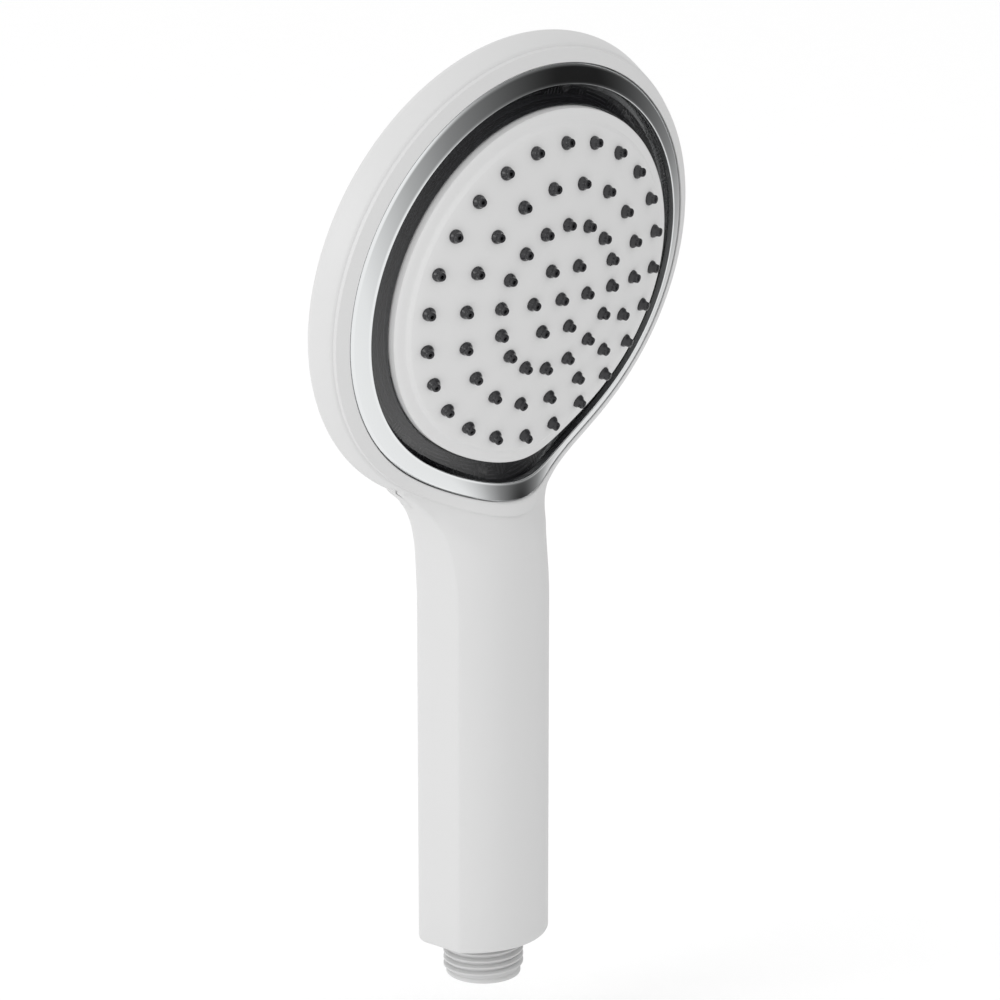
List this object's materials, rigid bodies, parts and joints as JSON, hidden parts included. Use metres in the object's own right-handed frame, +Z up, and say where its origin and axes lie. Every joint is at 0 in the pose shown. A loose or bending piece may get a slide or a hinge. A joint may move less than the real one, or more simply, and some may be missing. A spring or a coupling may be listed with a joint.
{
  "type": "handheld shower head",
  "caption": "Round handheld shower head with a domed spray plate, a bright trim ring, a smoked lit ring and a water turbine inside; threaded inlet stub at the grip's end.",
  "frame": {"origin": "centre of the inlet stub's end face, at the mouth of its bore", "axes": "+Z up the handle, the spray face looks towards -Y and is tilted 12 degrees down, X across the head"},
  "size_m": [0.124, 0.048, 0.2505],
  "materials": {
    "white_shell": "satin moulded white plastic",
    "bright_trim": "polished bright plating",
    "smoked_lens": "smoked see-through plastic",
    "silicone": "soft matte seal",
    "white_plate": "satin moulded white plastic",
    "nozzle_rubber": "glossy dark silicone",
    "inner_plastic": "plain moulded plastic",
    "circuit_board": "dark solder mask",
    "led_lens": "clear epoxy dome",
    "chip_black": "moulded component",
    "acetal": "natural acetal",
    "acetal_green": "coloured acetal",
    "steel": "stainless steel",
    "ferrite": "sintered ferrite",
    "bronze": "oil-filled bronze",
    "copper": "enamelled copper winding",
    "can": "sleeved can",
    "wire_red": "wire insulation",
    "wire_black": "wire insulation",
    "resin": "dipped resin bead",
    "white_thread": "satin moulded white plastic"
  },
  "bodies": {
    "shell": {"housing": "white_shell", "chrome_ring": "bright_trim", "lens_ring": "smoked_lens", "lens_seal": "silicone", "spray_plate": "white_plate", "nozzle_mat": "nozzle_rubber", "distributor": "inner_plastic", "rim_seal": "silicone", "led_board": "circuit_board", "leds": "led_lens", "led_resistors": "chip_black", "turbine_case": "inner_plastic", "turbine_seal": "silicone", "jet_ring": "acetal", "axle": "steel", "stator_core": "steel", "stator_coil": "copper", "driver_board": "circuit_board", "driver_chips": "chip_black", "capacitor": "can", "coil_wires": "wire_red", "led_wires": "wire_red", "temp_probe": "resin", "probe_wires": "wire_black", "water_tube": "inner_plastic", "tube_seals": "silicone", "inlet_connector": "white_thread", "connector_seal": "silicone", "inlet_screen": "steel", "flow_regulator": "acetal_green", "face_screws": "steel", "turbine_screws": "steel", "board_screws": "steel"},
    "rotor": {"impeller": "acetal", "rotor_magnet": "ferrite", "rotor_bushes": "bronze"}
  },
  "joints": [
    {"name": "rotor_spin", "type": "hinge", "parent": "shell", "child": "rotor", "pos_m": [0, -0.00608, 0.18977], "axis": [0, -0.9781, -0.2079], "continuous": true}
  ]
}
